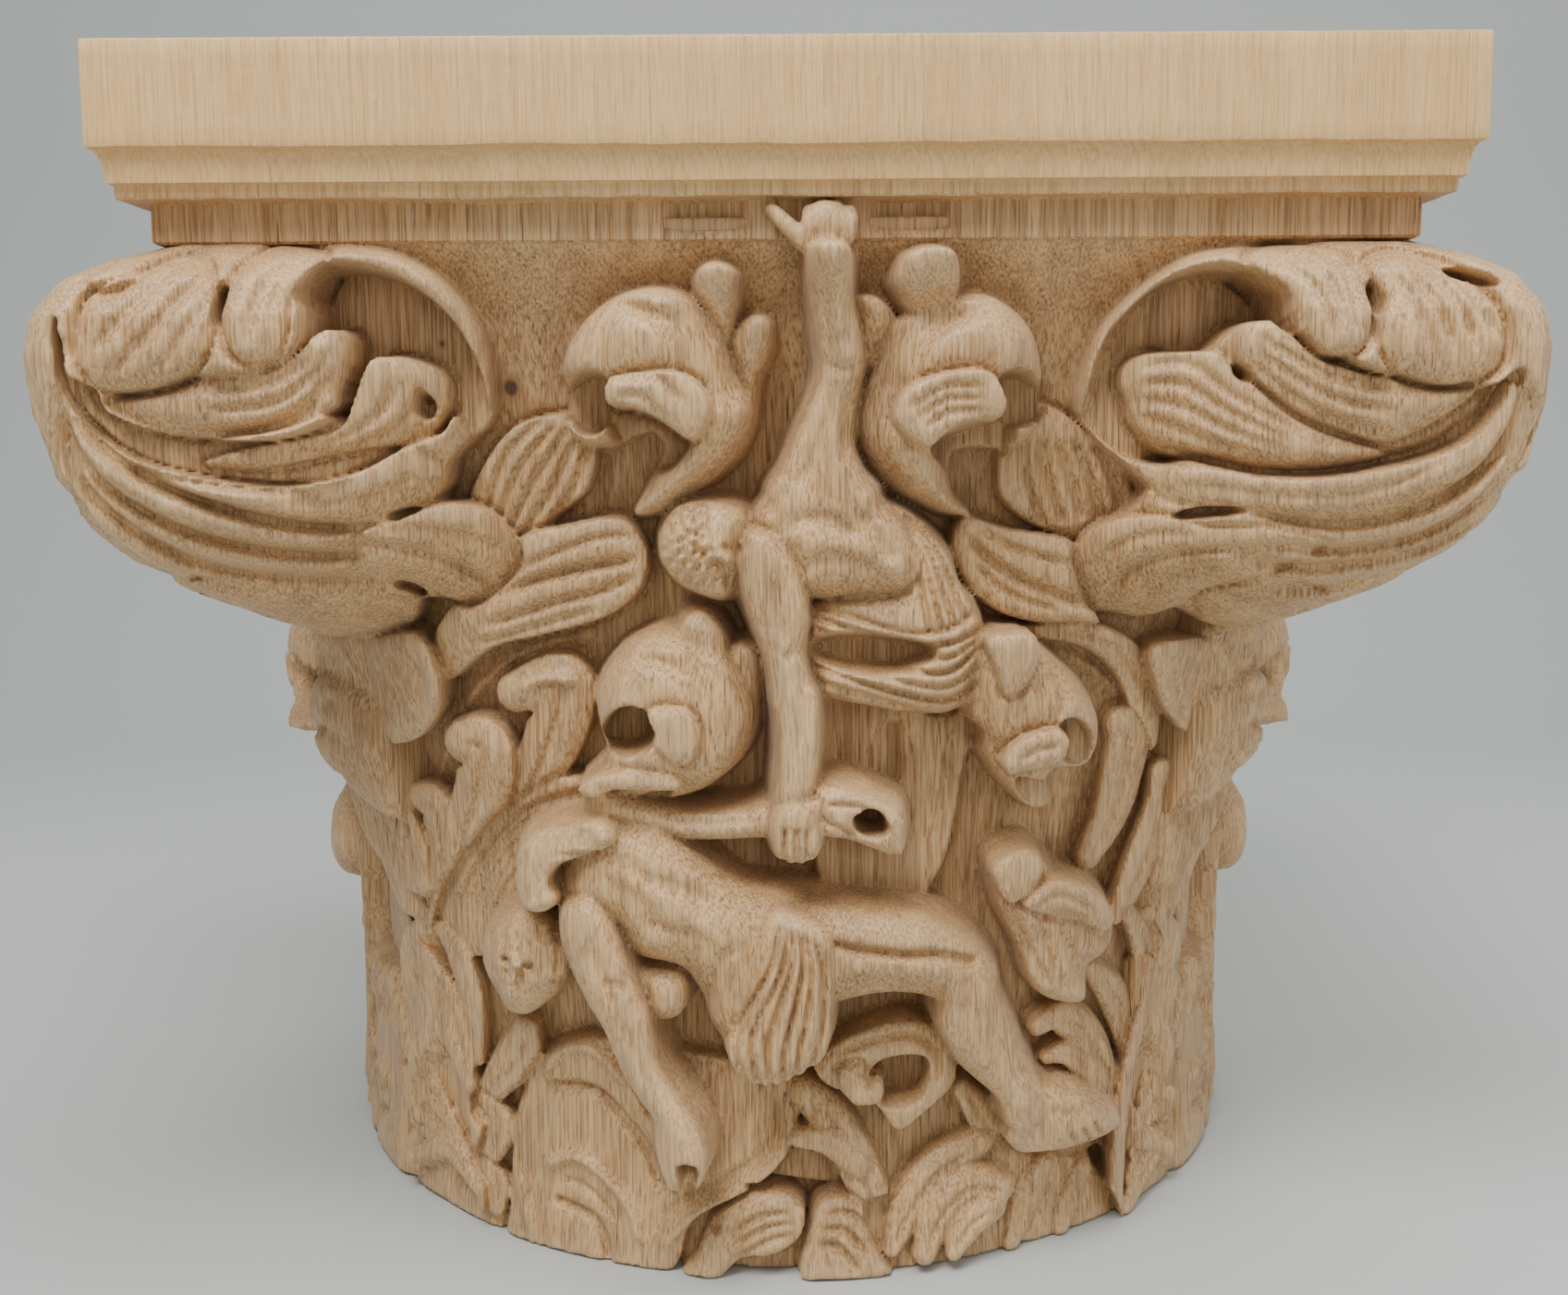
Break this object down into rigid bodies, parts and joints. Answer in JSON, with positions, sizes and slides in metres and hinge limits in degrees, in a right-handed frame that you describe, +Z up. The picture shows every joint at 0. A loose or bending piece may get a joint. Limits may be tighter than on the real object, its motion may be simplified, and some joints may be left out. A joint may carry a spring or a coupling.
{
  "type": "carved column capital",
  "caption": "Carved oak column capital: a square moulded abacus over a round bell of curling acanthus, with two nude figures holding hands on the front.",
  "frame": {"origin": "middle of the flat underside, on the block's own axis", "axes": "X to the right along the front, Y into the block so that the front faces -Y, Z up from the underside"},
  "size_m": [0.5031, 0.5023, 0.442],
  "materials": {
    "oak": "hand-cut oak, waxed to a soft sheen, darker in the hollows"
  },
  "bodies": {
    "root": {"carved_capital": "oak"}
  },
  "joints": []
}
